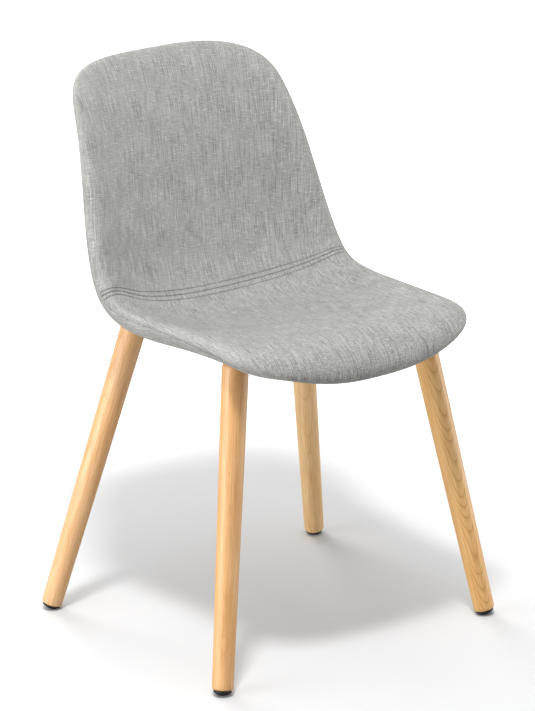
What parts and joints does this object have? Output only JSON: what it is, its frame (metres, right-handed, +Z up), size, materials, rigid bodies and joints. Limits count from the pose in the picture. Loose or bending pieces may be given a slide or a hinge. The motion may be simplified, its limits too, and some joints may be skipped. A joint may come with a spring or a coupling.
{
  "type": "upholstered shell dining chair",
  "caption": "Armless dining chair: padded fabric-covered bucket shell, seat and back in one curve, on splayed round tapered wooden legs with floor glides.",
  "frame": {"origin": "on the floor under the middle of the chair's footprint", "axes": "+Z up, the front of the seat faces -Y, +X to the sitter's left"},
  "size_m": [0.5048, 0.5365, 0.7669],
  "materials": {
    "cover_fabric": "light grey heathered plain weave",
    "foam": "cut polyurethane foam",
    "plywood": "moulded plywood, unfinished",
    "leg_wood": "light natural wood, clear satin lacquer",
    "zinc_steel": "zinc plated",
    "glide_plastic": "black"
  },
  "bodies": {
    "root": {"leg_front_right": "leg_wood", "hanger_bolt_front_right": "zinc_steel", "leg_plate_front_right": "zinc_steel", "plate_screw_front_right_1": "zinc_steel", "plate_screw_front_right_2": "zinc_steel", "plate_screw_front_right_3": "zinc_steel", "glide_front_right": "glide_plastic", "glide_nail_front_right": "zinc_steel", "leg_front_left": "leg_wood", "hanger_bolt_front_left": "zinc_steel", "leg_plate_front_left": "zinc_steel", "plate_screw_front_left_1": "zinc_steel", "plate_screw_front_left_2": "zinc_steel", "plate_screw_front_left_3": "zinc_steel", "glide_front_left": "glide_plastic", "glide_nail_front_left": "zinc_steel", "leg_rear_right": "leg_wood", "hanger_bolt_rear_right": "zinc_steel", "leg_plate_rear_right": "zinc_steel", "plate_screw_rear_right_1": "zinc_steel", "plate_screw_rear_right_2": "zinc_steel", "plate_screw_rear_right_3": "zinc_steel", "glide_rear_right": "glide_plastic", "glide_nail_rear_right": "zinc_steel", "leg_rear_left": "leg_wood", "hanger_bolt_rear_left": "zinc_steel", "leg_plate_rear_left": "zinc_steel", "plate_screw_rear_left_1": "zinc_steel", "plate_screw_rear_left_2": "zinc_steel", "plate_screw_rear_left_3": "zinc_steel", "glide_rear_left": "glide_plastic", "glide_nail_rear_left": "zinc_steel", "plywood_shell": "plywood", "seat_foam": "foam", "back_foam": "foam", "seat_cover": "cover_fabric", "inside_back_cover": "cover_fabric", "outer_cover": "cover_fabric"}
  },
  "joints": []
}
